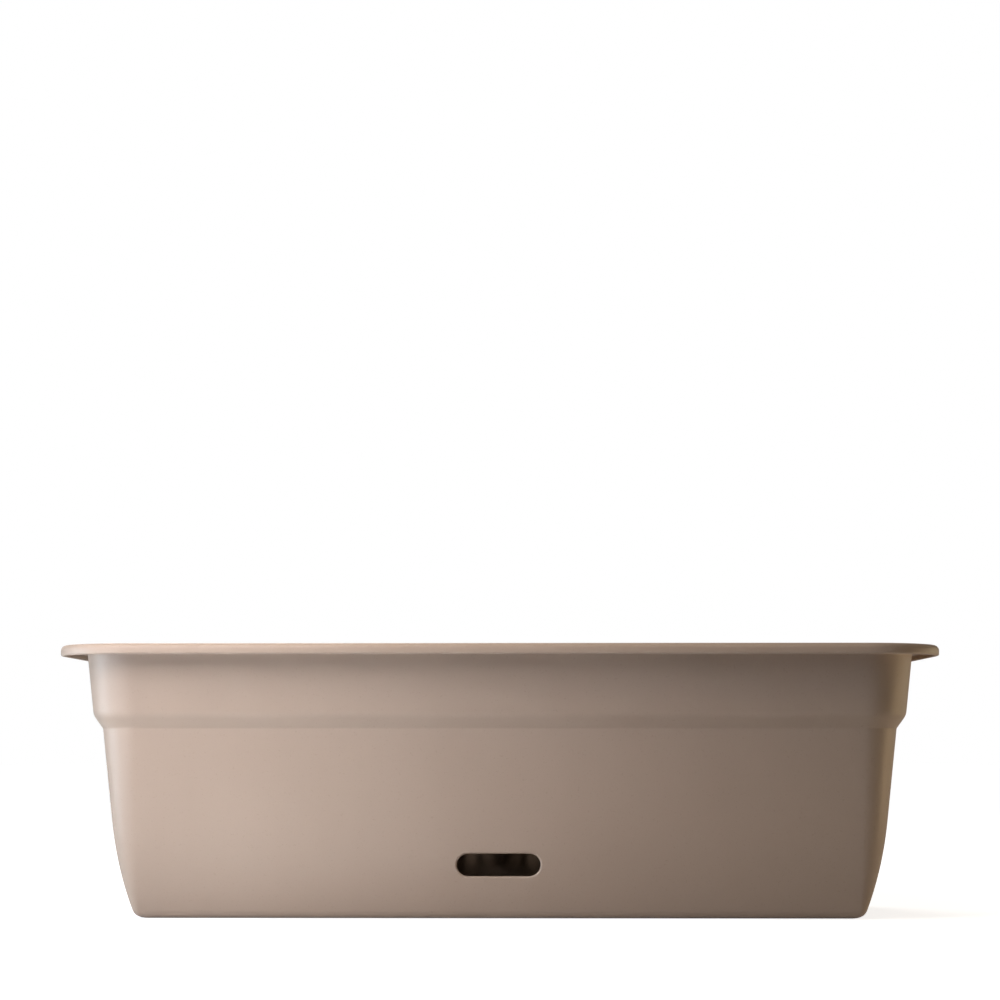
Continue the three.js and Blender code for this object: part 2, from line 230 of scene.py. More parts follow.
def trough_section():
    """Round the whole wall: under the base, up the outside, over the rim and down the inside."""
    inside_foot = BASE_OFFSET - FOOT_WIDTH
    foot = [
        (MIDDLE, FOOT_HEIGHT, 0),
        (FIRST_ROW, FOOT_HEIGHT, 0),
        (inside_foot, FOOT_HEIGHT, 0.8 * MM),
        (inside_foot, 0, 0.8 * MM),
        (BASE_OFFSET, 0, 0),
    ]
    base = arc(BASE_OFFSET, BASE_ROUND, BASE_ROUND, -math.pi / 2, -BASE_ANGLE, ROUND_STEPS)
    outside = [(tuck_offset(level), level) for level in TUCK_ROWS + [TUCK_LEVEL]]
    upper = [
        (*outside[-1], 0),
        (STEP_FOOT, STEP_FOOT_LEVEL, 1.5 * MM),
        (BAND_FOOT, BAND_FOOT_LEVEL, 8 * MM),
        (WALL_TOP, RIM_UNDERSIDE, 4 * MM),
        (CORNER_RADIUS - LIP_THICKNESS, RIM_UNDERSIDE, 0.9 * MM),
        (CORNER_RADIUS - LIP_THICKNESS, LIP_BOTTOM, 0.5 * MM),
        (CORNER_RADIUS, LIP_BOTTOM, 1.4 * MM),
        (CORNER_RADIUS, HEIGHT, 3 * MM),
        (WALL_TOP - WALL, HEIGHT, 5.1 * MM),
        (BAND_FOOT - WALL, BAND_FOOT_LEVEL, 5.4 * MM),
        (STEP_FOOT - WALL, STEP_FOOT_LEVEL, 4.1 * MM),
        (tuck_offset(TUCK_LEVEL, INNER_RADIUS), TUCK_LEVEL, 0),
    ]
    inside = [(tuck_offset(level, INNER_RADIUS), level) for level in reversed(TUCK_ROWS[1:])]
    floor_centre = FLOOR_TOP + FLOOR_ROUND
    turn = (-FLOOR_ANGLE, -math.pi / 2)
    floor = arc(FLOOR_OFFSET, floor_centre, FLOOR_ROUND, *turn, ROUND_STEPS)
    parts = [
        spread(rounded(foot), FLOOR_STRETCH),
        base[1:] + outside[:-1],
        spread(rounded(upper), WALL_STRETCH),
        inside + floor,
        spread([floor[-1], (FIRST_ROW, FLOOR_TOP), (MIDDLE, FLOOR_TOP)], FLOOR_STRETCH)[1:],
    ]
    return [point for part in parts for point in part]


section = trough_section()
print("points in the trough's section:", len(section))

# %% [markdown]
# ## The trough, swept by Geometry Nodes
# A sweep along a path would fold over itself at the inside of the corners, because the floor lies
# far inside the corner lines. A grid whose points are placed by a rule has no such trouble. Its
# rows are the points of the section and its columns are stops round the plan, and a node tree
# works out each point from its row's offset and its column's stop. The small helpers here add
# nodes, and the same two serve the materials later.

# %% Helpers that build node trees
SAME_POINT = 1e-6


def put(tree, kind, inputs=None, **options):
    """Adds a node, sets its options, and fills or links its inputs by name or number."""
    node = tree.nodes.new(kind)
    for option, value in options.items():
        setattr(node, option, value)
    for socket, value in (inputs or {}).items():
        if isinstance(value, bpy.types.NodeSocket):
            tree.links.new(value, node.inputs[socket])
        else:
            node.inputs[socket].default_value = value
    return node


def calc(tree, operation, first, second=0.0):
    """The result of one Math node."""
    return put(tree, "ShaderNodeMath", {0: first, 1: second}, operation=operation).outputs[0]


def start_recipe(name, sizes):
    """A Geometry Nodes tree with one named input for each size, and those inputs' sockets."""
    tree = bpy.data.node_groups.new(name, "GeometryNodeTree")
    for label, value in sizes.items():
        kind = "NodeSocket" + type(value).__name__.capitalize()
        tree.interface.new_socket(label, in_out="INPUT", socket_type=kind)
    tree.interface.new_socket("Geometry", in_out="OUTPUT", socket_type="NodeSocketGeometry")
    return tree, tree.nodes.new("NodeGroupInput").outputs


def end_recipe(tree, geometry, material):
    """Ends a tree with plain geometry that carries one material."""
    real = put(tree, "GeometryNodeRealizeInstances", {"Geometry": geometry}).outputs["Geometry"]
    painted = put(tree, "GeometryNodeSetMaterial", {"Geometry": real, "Material": material})
    put(tree, "NodeGroupOutput", {"Geometry": painted.outputs["Geometry"]})


# %% Helpers that run a tree and keep its result


def link_mesh(name, mesh):
    """A new object that shows a mesh."""
    thing = bpy.data.objects.new(name, mesh)
    scene.collection.objects.link(thing)
    return thing


def outline_object(name, points, edges=(), faces=()):
    """An object made from plain lists of points, edges and faces."""
    mesh = bpy.data.meshes.new(name)
    mesh.from_pydata([tuple(p) for p in points], list(edges), list(faces))
    return link_mesh(name, mesh)


def run_recipe(thing, tree, sizes):
    """Puts a tree on an object, with each input set by its socket's identifier."""
    modifier = thing.modifiers.new("recipe", "NODES")
    modifier.node_group = tree
    for item in tree.interface.items_tree:
        if item.in_out == "INPUT" and item.name in sizes:
            modifier[item.identifier] = sizes[item.name]


def settle(thing):
    """Makes what an object's modifiers show its own plain mesh, and drops the modifiers."""
    graph = bpy.context.evaluated_depsgraph_get()
    mesh = bpy.data.meshes.new_from_object(thing.evaluated_get(graph))
    thing.modifiers.clear()
    thing.data = mesh
    mesh.name = thing.name


def discard(*things):
    """Removes helper objects that a tree or a cut no longer needs."""
    for thing in things:
        bpy.data.objects.remove(thing)


# %% [markdown]
# ## The planter's plastic
# The trough is a taupe plastic with a satin surface. Close up, such plastic isn't even: the colour
# drifts slightly where the melt ran in, there are fine specks of pigment, the mould leaves a fine
# grain, and the surface is never quite flat. Edges are rubbed a little paler and duller. All this
# is built from noise in the piece's own coordinates, so it keeps its scale on every piece, and the
# wear follows an edge value that is measured on the finished mesh.

# %% Helpers for materials


def blend(tree, share, first, second):
    """A mix of two colours."""
    inputs = {0: share, 6: first, 7: second}
    return put(tree, "ShaderNodeMix", inputs, data_type="RGBA").outputs[2]


def noise(tree, place, scale, detail, roughness=0.5):
    """Smooth noise, from 0 to 1, with about scale bumps to the metre."""
    inputs = {"Vector": place, "Scale": scale, "Detail": detail, "Roughness": roughness}
    return put(tree, "ShaderNodeTexNoise", inputs).outputs["Fac"]


def ramp(tree, value, low, high, start=0.0, end=1.0):
    """A value stretched from one range to another."""
    inputs = {"Value": value, "From Min": low, "From Max": high, "To Min": start, "To Max": end}
    return put(tree, "ShaderNodeMapRange", inputs).outputs["Result"]


# %% A finish for moulded plastic
DRIFT_SCALE = 7.0
SPECK_SCALE = 900.0
SCUFF_SCALE = 85.0
PATCH_SCALE = 34.0
WAVE_SCALE = 16.0
SHINIER = 0.04
DULLER = 0.05
RUBBED_DULL = 0.16


def moulded_plastic(
    name,
    deep,
    pale,
    fleck,
    worn,
    specks=0.35,
    wear=0.5,
    flow=(1.0, 1.0, 1.0),
    satin=0.46,
    swell=0.0002,
    grain=0.00003,
    grain_scale=1500.0,
    shine=0.5,
):
    """Moulded plastic with drifting colour, specks, a fine grain and rubbed edges."""
    material = bpy.data.materials.new(name)
    material.use_nodes = True
    tree = material.node_tree
    shader = tree.nodes["Principled BSDF"]
    place = put(tree, "ShaderNodeTexCoord").outputs["Object"]
    stretch = put(tree, "ShaderNodeMapping", {"Vector": place, "Scale": flow})
    drift = ramp(tree, noise(tree, stretch.outputs[0], DRIFT_SCALE, detail=4.0), 0.3, 0.7)
    flecks = ramp(tree, noise(tree, place, SPECK_SCALE, detail=1.0), 0.66, 0.74)
    edge = put(tree, "ShaderNodeAttribute", attribute_name="edge").outputs["Fac"]
    rub = ramp(tree, noise(tree, place, SCUFF_SCALE, detail=5.0, roughness=0.7), 0.38, 0.66)
    rub = calc(tree, "MULTIPLY", edge, rub)
    paint = blend(tree, drift, (*deep, 1), (*pale, 1))
    paint = blend(tree, calc(tree, "MULTIPLY", flecks, specks), paint, (*fleck, 1))
    paint = blend(tree, calc(tree, "MULTIPLY", rub, wear), paint, (*worn, 1))
    tree.links.new(paint, shader.inputs["Base Color"])

    patches = noise(tree, place, PATCH_SCALE, detail=4.0)
    gloss = ramp(tree, patches, 0.25, 0.75, satin - SHINIER, satin + DULLER)
    gloss = calc(tree, "ADD", gloss, calc(tree, "MULTIPLY", rub, RUBBED_DULL))
    tree.links.new(gloss, shader.inputs["Roughness"])

    waves = noise(tree, place, WAVE_SCALE, detail=1.0)
    inputs = {"Strength": 1.0, "Distance": swell, "Height": waves}
    normal = put(tree, "ShaderNodeBump", inputs).outputs["Normal"]
    grains = noise(tree, place, grain_scale, detail=3.0, roughness=0.6)
    inputs = {"Strength": 1.0, "Distance": grain, "Height": grains, "Normal": normal}
    normal = put(tree, "ShaderNodeBump", inputs).outputs["Normal"]
    tree.links.new(normal, shader.inputs["Normal"])
    shader.inputs["Specular IOR Level"].default_value = shine
    return material


# %% The trough's taupe
taupe = moulded_plastic(
    "taupe_plastic",
    deep=(0.400, 0.306, 0.240),
    pale=(0.430, 0.333, 0.264),
    fleck=(0.33, 0.25, 0.195),
    worn=(0.50, 0.415, 0.345),
    wear=0.45,
    flow=(1.0, 1.0, 0.35),
    shine=0.4,
)
print("finish:", taupe.name, "with", len(taupe.node_tree.nodes), "nodes")

# %% [markdown]
# A stop is a point on a square from -1 to 1, which is stretched to the corner lines, and an
# outward direction, along which the corner radius is added. The stops stand closer together on
# the middle of the long sides, where the overflow slot will be cut.

# %% Stops round the plan
CORNER_STEPS = 26
SHORT_STEPS = 22
OUTER_STEPS = 35
WINDOW_STEPS = 24
SLOT_WINDOW = 30 * MM


def even_steps(start, end, count):
    """Evenly spaced values, with both ends."""
    return [start + (end - start) * i / count for i in range(count + 1)]


def plan_stops():
    """Stops anticlockwise round the plan, as places on the square and outward directions."""
    window = SLOT_WINDOW / CORNER_X
    outer = even_steps(-1, -window, OUTER_STEPS)
    middle = even_steps(-window, window, WINDOW_STEPS)
    long_side = outer + middle[1:] + [-x for x in reversed(outer)][1:]
    short_side = even_steps(-1, 1, SHORT_STEPS)
    corners = [(1, -1), (1, 1), (-1, 1), (-1, -1)]
    places, outwards = [], []
    for i, (x, y) in enumerate(corners):
        next_x, next_y = corners[(i + 1) % 4]
        turns = [math.pi / 2 * (i - 1 + step / CORNER_STEPS) for step in range(CORNER_STEPS + 1)]
        places += [(x, y, 0)] * len(turns)
        outwards += [(math.cos(turn), math.sin(turn), 0) for turn in turns]
        side = short_side if x == next_x else long_side
        for value in side[1:-1]:
            share = (value + 1) / 2
            places.append((x + (next_x - x) * share, y + (next_y - y) * share, 0))
            outwards.append(outwards[-1])
    return places, outwards


places, outwards = plan_stops()
stops = outline_object("stops", places)
stops_attribute = stops.data.attributes.new("outward", "FLOAT_VECTOR", "POINT")
stops_attribute.data.foreach_set("vector", [v for direction in outwards for v in direction])
section_line = outline_object("section", [(x, 0, z) for x, z in section])
print("stops round the plan:", len(places))

# %% Helpers for shapes inside a tree


def named(tree, name, kind):
    """A value that is stored on points under a name."""
    inputs = {"Name": name}
    node = put(tree, "GeometryNodeInputNamedAttribute", inputs, data_type=kind)
    return node.outputs["Attribute"]


def sample(tree, geometry, value, index, kind="FLOAT_VECTOR"):
    """A value of one point of another shape."""
    inputs = {"Geometry": geometry, "Value": value, "Index": index}
    return put(tree, "GeometryNodeSampleIndex", inputs, data_type=kind).outputs[0]


def split(tree, vector):
    """The three numbers of a vector."""
    return put(tree, "ShaderNodeSeparateXYZ", {0: vector}).outputs


def object_shape(tree, given, label):
    """The geometry of an object that is one of a tree's inputs."""
    return put(tree, "GeometryNodeObjectInfo", {"Object": given[label]}).outputs["Geometry"]


def point_count(tree, shape):
    """How many points a shape has."""
    node = put(tree, "GeometryNodeAttributeDomainSize", {"Geometry": shape})
    return node.outputs["Point Count"]


def merge(tree, shape):
    """A shape whose doubled points are one."""
    inputs = {"Geometry": shape, "Distance": SAME_POINT}
    return put(tree, "GeometryNodeMergeByDistance", inputs).outputs["Geometry"]


# %% The sweep, as a node tree
sweep_sizes = {
    "Section": section_line,
    "Stops": stops,
    "Corner X": CORNER_X,
    "Corner Y": CORNER_Y,
    "Tightest Corner": TIGHTEST_CORNER,
    "Material": taupe,
}


def sweep_recipe(sizes):
    """Places the points of a grid by the section of their row and the stop of their column."""
    tree, given = start_recipe("trough_sweep", sizes)
    shapes = [object_shape(tree, given, label) for label in ("Section", "Stops")]
    counts = [point_count(tree, shape) for shape in shapes]
    columns = calc(tree, "ADD", counts[1], 1.0)
    inputs = {"Vertices X": counts[0], "Vertices Y": columns}
    grid = put(tree, "GeometryNodeMeshGrid", inputs).outputs["Mesh"]
    index = put(tree, "GeometryNodeInputIndex").outputs[0]
    row = calc(tree, "FLOOR", calc(tree, "DIVIDE", index, columns))
    column = calc(tree, "MODULO", calc(tree, "MODULO", index, columns), counts[1])

    position = put(tree, "GeometryNodeInputPosition").outputs[0]
    outward = named(tree, "outward", "FLOAT_VECTOR")
    offset, _, level = split(tree, sample(tree, shapes[0], position, row))
    place = split(tree, sample(tree, shapes[1], position, column))
    direction = split(tree, sample(tree, shapes[1], outward, column))
    radius = calc(tree, "MAXIMUM", offset, given["Tightest Corner"])
    radius = calc(tree, "MINIMUM", radius, calc(tree, "ADD", given["Corner Y"], offset))
    spots = []
    for axis, reach in enumerate((given["Corner X"], given["Corner Y"])):
        centre = calc(tree, "SUBTRACT", calc(tree, "ADD", reach, offset), radius)
        shift = calc(tree, "MULTIPLY", direction[axis], radius)
        spots.append(calc(tree, "ADD", calc(tree, "MULTIPLY", place[axis], centre), shift))
    target = put(tree, "ShaderNodeCombineXYZ", {0: spots[0], 1: spots[1], 2: level}).outputs[0]
    placed = put(tree, "GeometryNodeSetPosition", {"Geometry": grid, "Position": target})
    end_recipe(tree, merge(tree, placed.outputs["Geometry"]), given["Material"])
    return tree


trough = link_mesh("trough_shell", bpy.data.meshes.new("trough_shell"))
run_recipe(trough, sweep_recipe(sweep_sizes), sweep_sizes)
settle(trough)
discard(stops, section_line)
print("faces in the swept trough:", len(trough.data.polygons))

# %% [markdown]
# ## The overflow slot
# The slot is a long hole with round ends, low in the front wall, and its rounded edge catches the
# light. A boolean cut would leave thin triangles that spoil the shading next to it. So a window
# of faces is taken out of both faces of the wall, and rings of new faces run from the window's
# frame to the slot's outline, round its edge, and through to the other side.

# %% Open the window and list its frame
SLOT_LENGTH = 47.5 * MM
SLOT_RADIUS = 6.5 * MM
SLOT_RUN = SLOT_LENGTH / 2 - SLOT_RADIUS
WINDOW_HEIGHT = 24 * MM


def inner_face(level):
    """How far the front wall's inner face stands from the middle at a level."""
    return CORNER_Y + tuck_offset(level, INNER_RADIUS)


def outer_face(level):
    """How far the front wall's outer face stands from the middle at a level."""
    return CORNER_Y + tuck_offset(level)


def window_frame(shell, is_outer):
    """The points round the window in one face of the wall, in order round the slot."""
    frame_points = set()
    for edge in shell.edges:
        if not edge.is_boundary:
            continue
        for point in edge.verts:
            middle = -(inner_face(point.co.z) + outer_face(point.co.z)) / 2
            if (point.co.y < middle) == is_outer:
                frame_points.add(point)
    return sorted(frame_points, key=lambda p: math.atan2(p.co.z - SLOT_LEVEL, p.co.x))


def open_window(shell):
    """Removes the wall's faces round the slot."""
    window = []
    for face in shell.faces:
        middle = face.calc_center_median()
        near = abs(middle.x) < SLOT_WINDOW and abs(middle.z - SLOT_LEVEL) < WINDOW_HEIGHT / 2
        if near and middle.y < -CORNER_Y:
            window.append(face)
    bmesh.ops.delete(shell, geom=window, context="FACES")
    return len(window)


shell = bmesh.new()
shell.from_mesh(trough.data)
removed = open_window(shell)
outer_frame = window_frame(shell, True)
inner_frame = window_frame(shell, False)
print("faces removed:", removed, "and points in each frame:", len(outer_frame), len(inner_frame))

# %% Rings from the frame through the slot
OUTER_EDGE = 1.2 * MM
OUTER_EDGE_STEPS = 5
OUTER_APRON = (3.2 * MM, 1.6 * MM)
INNER_EDGE = 0.7 * MM
INNER_EDGE_STEPS = 4
INNER_APRON = (1.2 * MM, 3.2 * MM)


def slot_point(frame_point, grow, depth, face):
    """A point of a ring: the slot's outline, grown a little, and set into the wall."""
    spine = Vector((max(-SLOT_RUN, min(SLOT_RUN, frame_point.co.x)), SLOT_LEVEL))
    away = (Vector((frame_point.co.x, frame_point.co.z)) - spine).normalized()
    x, z = spine + away * (SLOT_RADIUS + grow)
    return (x, depth - face(z), z)


def edge_ring(edge, turn):
    """Growth and depth of a ring on a rounded edge; turn is 0 on the wall and 1 in the slot."""
    angle = turn * math.pi / 2
    return edge * (1 - math.sin(angle)), edge * (1 - math.cos(angle))


def skin(shape, loops):
    """Joins loops of equal numbers of points with faces."""
    for first, second in zip(loops, loops[1:]):
        for i, point in enumerate(first):
            j = (i + 1) % len(first)
            shape.faces.new((point, first[j], second[j], second[i]))


rings = [(grow, 0, outer_face) for grow in OUTER_APRON]
for step in range(OUTER_EDGE_STEPS + 1):
    grow, depth = edge_ring(OUTER_EDGE, step / OUTER_EDGE_STEPS)
    rings.append((grow, depth, outer_face))
for step in range(INNER_EDGE_STEPS + 1):
    grow, depth = edge_ring(INNER_EDGE, 1 - step / INNER_EDGE_STEPS)
    rings.append((grow, -depth, inner_face))
rings += [(grow, 0, inner_face) for grow in INNER_APRON]

loops = [outer_frame]
for ring in rings:
    loops.append([shell.verts.new(slot_point(point, *ring)) for point in outer_frame])
loops.append(inner_frame)
skin(shell, loops)
bmesh.ops.recalc_face_normals(shell, faces=shell.faces)
shell.to_mesh(trough.data)
open_edges = sum(not edge.is_manifold for edge in shell.edges)
volume = shell.calc_volume() * TO_CM3
print("open edges left:", open_edges, "volume in cm3:", round(volume, 1))
shell.free()

# %% [markdown]
# ## The drain
# The drain is a hole in a thick boss, low in the right-hand end, with a sunk seat round it. The
# seat is flat while the wall is curved, so here cuts are the simplest way: the boss is joined to
# the trough, and the seat and the hole are cut out. The boss ends inside the wall, and the cutter
# for the seat flares where it leaves the wall, which softens the seat's edge.

# %% Sizes of the drain
DRAIN_STEPS = 72
BORE = 6 * MM
SHANK = 5.7 * MM
SEAL_RADIUS = 8.2 * MM
HEAD_RADIUS = 8.7 * MM
SEAT_RADIUS = 10.7 * MM
DRAIN_LEVEL = 13.7 * MM
BOSS_RADIUS = SEAT_RADIUS + WALL
SEAT_FACE = CORNER_X + outer_offset(DRAIN_LEVEL - SEAT_RADIUS) - 0.6 * MM
SEAT_BACK = SEAT_FACE - 2.8 * MM


def ring_mesh(name, loops, close_ends=True):
    """A closed skin over loops with equal numbers of points, with a flat face over each end."""
    shape = bmesh.new()
    rows = [[shape.verts.new(point) for point in loop] for loop in loops]
    skin(shape, rows)
    if close_ends:
        shape.faces.new(rows[0])
        shape.faces.new(rows[-1])
    bmesh.ops.remove_doubles(shape, verts=shape.verts, dist=SAME_POINT)
    bmesh.ops.recalc_face_normals(shape, faces=shape.faces)
    mesh = bpy.data.meshes.new(name)
    shape.to_mesh(mesh)
    shape.free()
    return link_mesh(name, mesh)


def drain_loop(radius, reach):
    """A loop round the drain's axis; reach is an X place, or a rule that gives it for a level."""
    loop = []
    for i in range(DRAIN_STEPS):
        angle = 2 * math.pi * i / DRAIN_STEPS
        y, z = radius * math.cos(angle), DRAIN_LEVEL + radius * math.sin(angle)
        loop.append((reach(z) if callable(reach) else reach, y, z))
    return loop


def drain_tool(name, rows):
    """A closed skin round the drain's axis, from rows of a radius and a reach."""
    return ring_mesh(name, [drain_loop(radius, reach) for radius, reach in rows])


def end_wall(depth):
    """A rule for a surface at a depth under the outside of the end wall."""
    return lambda z: CORNER_X + outer_offset(z) - depth


def boss_end(z):
    """Where the boss ends inside the wall."""
    return max(end_wall(WALL / 2)(z), SEAT_BACK + 0.3 * MM)


print("the seat's face lies at x =", round(SEAT_FACE / MM, 2), "mm")

# %% Join the boss, and cut the seat and the hole
BOSS_EDGE = 0.5 * MM
SEAT_EDGE = 0.5 * MM
SEAT_FLARE = SEAT_RADIUS + SEAT_EDGE + 0.3 * MM
BORE_FLARE = 0.8 * MM
boss = drain_tool(
    "boss",
    [(radius, SEAT_BACK) for radius in (4 * MM, 9 * MM, BOSS_RADIUS - BOSS_EDGE)]
    + [(BOSS_RADIUS, SEAT_BACK + BOSS_EDGE)]
    + [(BOSS_RADIUS * share, boss_end) for share in (1, 0.8, 0.6, 0.4, 0.2)],
)
seat = drain_tool(
    "seat",
    [
        (SEAT_RADIUS - 0.3 * MM, SEAT_FACE),
        (SEAT_RADIUS, SEAT_FACE + 0.1 * MM),
        (SEAT_RADIUS, end_wall(SEAT_EDGE)),
        (SEAT_RADIUS + 0.15 * MM, end_wall(0.2 * MM)),
        (SEAT_FLARE, end_wall(-0.3 * MM)),
        (SEAT_FLARE, CORNER_X + TUCK_TOP),
    ],
)
hole = drain_tool(
    "hole",
    [
        (BORE + BORE_FLARE, SEAT_BACK - 0.5 * MM),
        (BORE, SEAT_BACK + 0.3 * MM),
        (BORE, SEAT_FACE - 0.3 * MM),
        (BORE + BORE_FLARE, SEAT_FACE + 0.5 * MM),
    ],
)
for tool, operation in ((boss, "UNION"), (seat, "DIFFERENCE"), (hole, "DIFFERENCE")):
    cut = trough.modifiers.new(tool.name, "BOOLEAN")
    cut.object = tool
    cut.operation = operation
settle(trough)
discard(boss, seat, hole)
print("faces after the cuts:", len(trough.data.polygons))

# %% [markdown]
# Each piece is finished in the same way: doubled points are merged, faces point outwards, and
# rounds are shaded smooth. On a piece with large flat faces, those faces set the shading where
# they meet a fine round, so that they stay flat in the light. A value called edge is stored on the
# points, from 0 on a flat to 1 on a tight convex round, and tells the finish where hands and tools
# rub the plastic. The piece then rides on its body and stands for its plain copy.

# %% Finish a piece
LARGE_FACE = 100 * MM * MM
SHORTEST_EDGE = 0.3 * MM
LEAST_BEND = 0.04
BEND_RANGE = 0.3
SHARP = math.radians(32)


def store_edges(shape):
    """How much each point of a mesh stands out on a convex edge, from 0 to 1."""
    values = []
    for point in shape.verts:
        bends = []
        for edge in point.link_edges:
            away = point.co - edge.other_vert(point).co
            length = away.length
            bends.append(2 * point.normal.dot(away) / max(length, SHORTEST_EDGE) ** 2)
        bend = sum(bends) / max(len(bends), 1) * MM
        values.append(max(0.0, min(1.0, (bend - LEAST_BEND) / BEND_RANGE)))
    smooth = []
    for point in shape.verts:
        near = [values[edge.other_vert(point).index] for edge in point.link_edges]
        on_flat = any(face.calc_area() > LARGE_FACE for face in point.link_faces)
        share = 0.5 * values[point.index] + 0.5 * sum(near) / max(len(near), 1)
        smooth.append(0.0 if on_flat else share)
    return smooth


def finish_piece(piece, material, body, node, flats=False):
    """Cleans and shades a piece's mesh, and hands it to its body in the frame."""
    shape = bmesh.new()
    shape.from_mesh(piece.data)
    bmesh.ops.remove_doubles(shape, verts=shape.verts, dist=SAME_POINT)
    bmesh.ops.dissolve_degenerate(shape, edges=shape.edges, dist=SAME_POINT)
    bmesh.ops.recalc_face_normals(shape, faces=shape.faces)
    shape.verts.index_update()
    shape.normal_update()
    edges = store_edges(shape)
    loose = sum(not edge.is_manifold for edge in shape.edges)
    volume = shape.calc_volume() * TO_CM3
    shape.to_mesh(piece.data)
    shape.free()
    piece.data.attributes.new("edge", "FLOAT", "POINT").data.foreach_set("value", edges)
    piece.data.materials.clear()
    piece.data.materials.append(material)
    piece.data.shade_smooth()
    piece.data.set_sharp_from_angle(angle=SHARP)
    if flats:
        piece.modifiers.new("even_shading", "WEIGHTED_NORMAL").keep_sharp = True
        settle(piece)
    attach(piece, body)
    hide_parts(node)
    print(f"{piece.name}: {len(piece.data.polygons)} faces, {volume:.1f} cm3, {loose} open edges")


finish_piece(trough, taupe, "trough", "trough_body")

# %% [markdown]
# ## The perforated false floors
# A false floor is a dark plate with rows of drainage slots, two round openings for the cups, a
# skirt round its edge and hollow legs. Its slots are a textbook case for Geometry Nodes: a grid
# of points, less those that come too near a cup, a leg or the edge, with one slot drawn on each.
# Filling the outline and all the holes at once gives a flat face that is then made thick. The
# legs, the collars and the skirt are joined to it as one skin, since they are moulded in one.

# %% Sizes of a false floor
PLATE_BOTTOM = 43 * MM
PLATE_TOP = 45.2 * MM
SKIRT_BOTTOM = 39 * MM
SKIRT_WIDTH = 1.6 * MM
PLAY = 0.3 * MM
SKIRT_PLAY = 1 * MM
PLATE_OFFSET = outer_offset(SKIRT_BOTTOM) - WALL - SKIRT_PLAY
PLATE_START = 0.4 * MM
PLATE_END = CORNER_X + PLATE_OFFSET
PLATE_MIDDLE = (PLATE_START + PLATE_END) / 2
PLATE_HALF_WIDTH = CORNER_Y + PLATE_OFFSET
PLATE_CORNER_STEPS = 20
CUP_HOLE = 23 * MM
FLANGE_RADIUS = 27 * MM
LEG_RADIUS = 8 * MM
LEG_DRAFT = math.radians(2)
LEG_TO_SIDE = 21 * MM
LEG_TO_END = 36 * MM
LEG_Y = PLATE_HALF_WIDTH - LEG_TO_SIDE
LEG_XS = [PLATE_START + LEG_TO_END, PLATE_MIDDLE, PLATE_END - LEG_TO_END]
CUP_XS = [(LEG_XS[0] + LEG_XS[1]) / 2, (LEG_XS[1] + LEG_XS[2]) / 2]
SLOT_PITCH_X = 10.5 * MM
SLOT_PITCH_Y = 18 * MM
SLOT_TO_END = 5.6 * MM
SLOT_TO_SIDE = 10.5 * MM
DRAIN_SLOT_LENGTH = 13 * MM
DRAIN_SLOT_WIDTH = 3.2 * MM
print("cups at x =", [round(x / MM, 2) for x in CUP_XS], "mm")


def plate_outline(inset):
    """The plate's outline in plan, moved inwards by an inset."""
    radius = PLATE_OFFSET - inset
    quarter = math.pi / 2
    near = (PLATE_START + inset, PLATE_HALF_WIDTH - inset)
    front = arc(CORNER_X, -CORNER_Y, radius, -quarter, 0, PLATE_CORNER_STEPS)
    back = arc(CORNER_X, CORNER_Y, radius, 0, quarter, PLATE_CORNER_STEPS)
    return [(near[0], -near[1]), *front, *back, near]


# %% Legs, collars and the skirt
COARSE_STEP = math.radians(18)


def spin(name, corners, steps, finest=COARSE_STEP):
    """A solid turned about the Z axis from a closed section of (radius, level, round) corners."""
    turns = [2 * math.pi * i / steps for i in range(steps)]
    loops = [
        [(radius * math.cos(turn), radius * math.sin(turn), level) for turn in turns]
        for radius, level in rounded(corners, finest)
        if radius > 0
    ]
    on_axis = corners[0][0] == 0
    return ring_mesh(name, loops if on_axis else loops + loops[:1], close_ends=on_axis)


ROOT = PLATE_BOTTOM + 0.2 * MM
LEG_FOOT = FLOOR_TOP + PLAY
LEG_SLIM = math.tan(LEG_DRAFT) * (PLATE_BOTTOM - LEG_FOOT)
LEG_BORE = LEG_RADIUS - 1.7 * MM
COLLAR_FOOT = PLATE_BOTTOM - 6 * MM
COLLAR_RADIUS = CUP_HOLE + 1.8 * MM
leg = spin(
    "leg",
    [
        (0, ROOT, 0),
        (LEG_RADIUS, ROOT, 0),
        (LEG_RADIUS, PLATE_BOTTOM - 0.1 * MM, 0),
        (LEG_RADIUS - LEG_SLIM, LEG_FOOT, 0.5 * MM),
        (LEG_BORE - LEG_SLIM, LEG_FOOT, 0.5 * MM),
        (LEG_BORE, PLATE_BOTTOM - 0.6 * MM, 0.8 * MM),
        (0, PLATE_BOTTOM - 0.6 * MM, 0),
    ],
    steps=40,
)
collar = spin(
    "collar",
    [
        (CUP_HOLE, ROOT, 0),
        (CUP_HOLE, COLLAR_FOOT, 0.5 * MM),
        (COLLAR_RADIUS, COLLAR_FOOT, 0.5 * MM),
        (COLLAR_RADIUS, ROOT, 0),
    ],
    steps=96,
)
skirt_section = rounded(
    [
        (0, ROOT, 0),
        (0, SKIRT_BOTTOM, 0.5 * MM),
        (SKIRT_WIDTH, SKIRT_BOTTOM, 0.5 * MM),
        (SKIRT_WIDTH, ROOT, 0),
    ],
    COARSE_STEP,
)
skirt_loops = [[(x, y, level) for x, y in plate_outline(inset)] for inset, level in skirt_section]
skirt = ring_mesh("skirt", skirt_loops + skirt_loops[:1], close_ends=False)
for part in (leg, collar, skirt):
    print("faces in the", part.name + ":", len(part.data.polygons))

